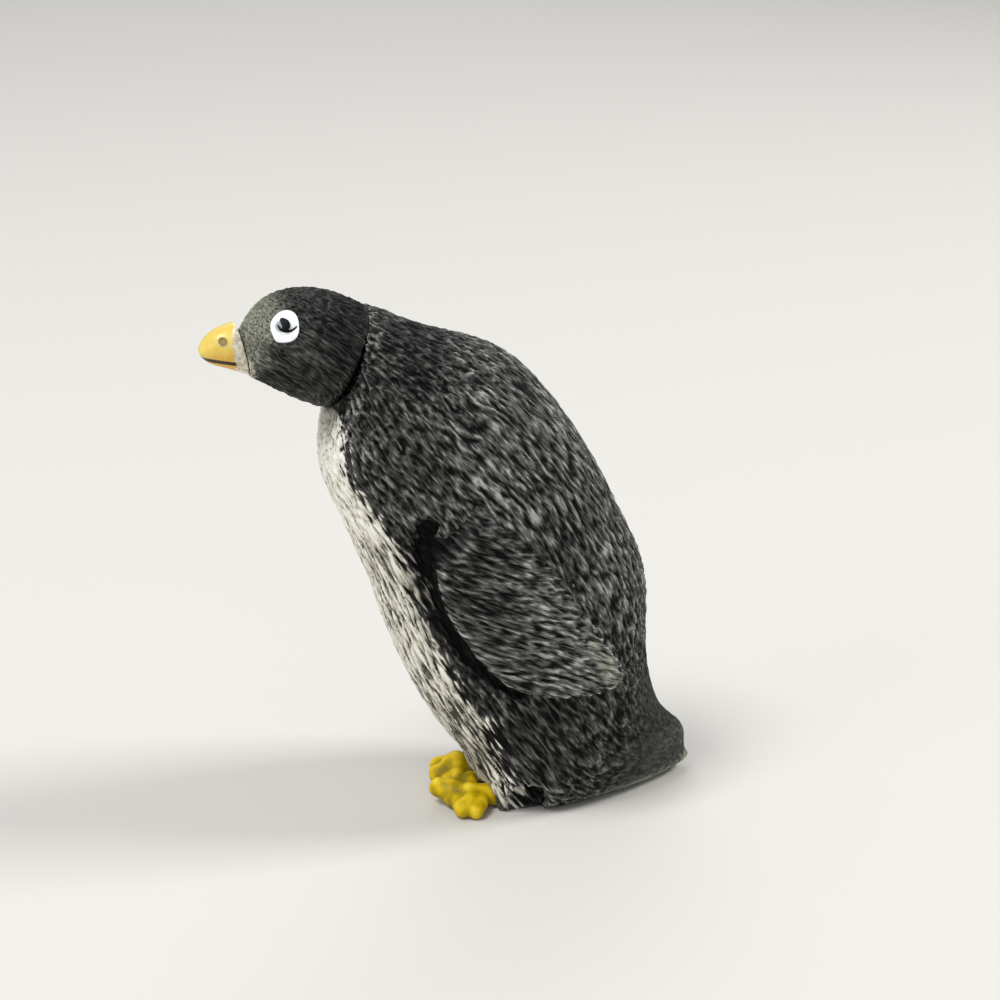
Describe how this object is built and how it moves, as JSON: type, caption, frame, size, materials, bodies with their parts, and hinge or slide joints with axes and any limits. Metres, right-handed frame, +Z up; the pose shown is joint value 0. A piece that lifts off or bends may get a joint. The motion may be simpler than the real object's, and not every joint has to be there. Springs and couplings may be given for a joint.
{
  "type": "penguin figurine",
  "caption": "Small standing penguin figurine: leaning trunk with stub tail, head on a neck plug, beak, two flippers laid on the sides, two webbed feet and painted eyes.",
  "frame": {"origin": "on the table, below the middle of the figure's bounding box", "axes": "+Z up, -Y the way the penguin looks, +X its left side"},
  "size_m": [0.022, 0.0468, 0.0501],
  "materials": {
    "plumage": "matte acrylic paint, dry-brushed grey over black, white on the belly",
    "beak_paint": "satin yellow paint",
    "foot_paint": "satin yellow paint",
    "eye_enamel": "white enamel dab",
    "pupil_enamel": "black enamel dab"
  },
  "bodies": {
    "root": {"body": "plumage", "head": "plumage", "beak": "beak_paint", "flipper_left": "plumage", "flipper_right": "plumage", "foot_left": "foot_paint", "foot_right": "foot_paint", "eye_white_left": "eye_enamel", "eye_white_right": "eye_enamel", "pupil_left": "pupil_enamel", "pupil_right": "pupil_enamel"}
  },
  "joints": []
}
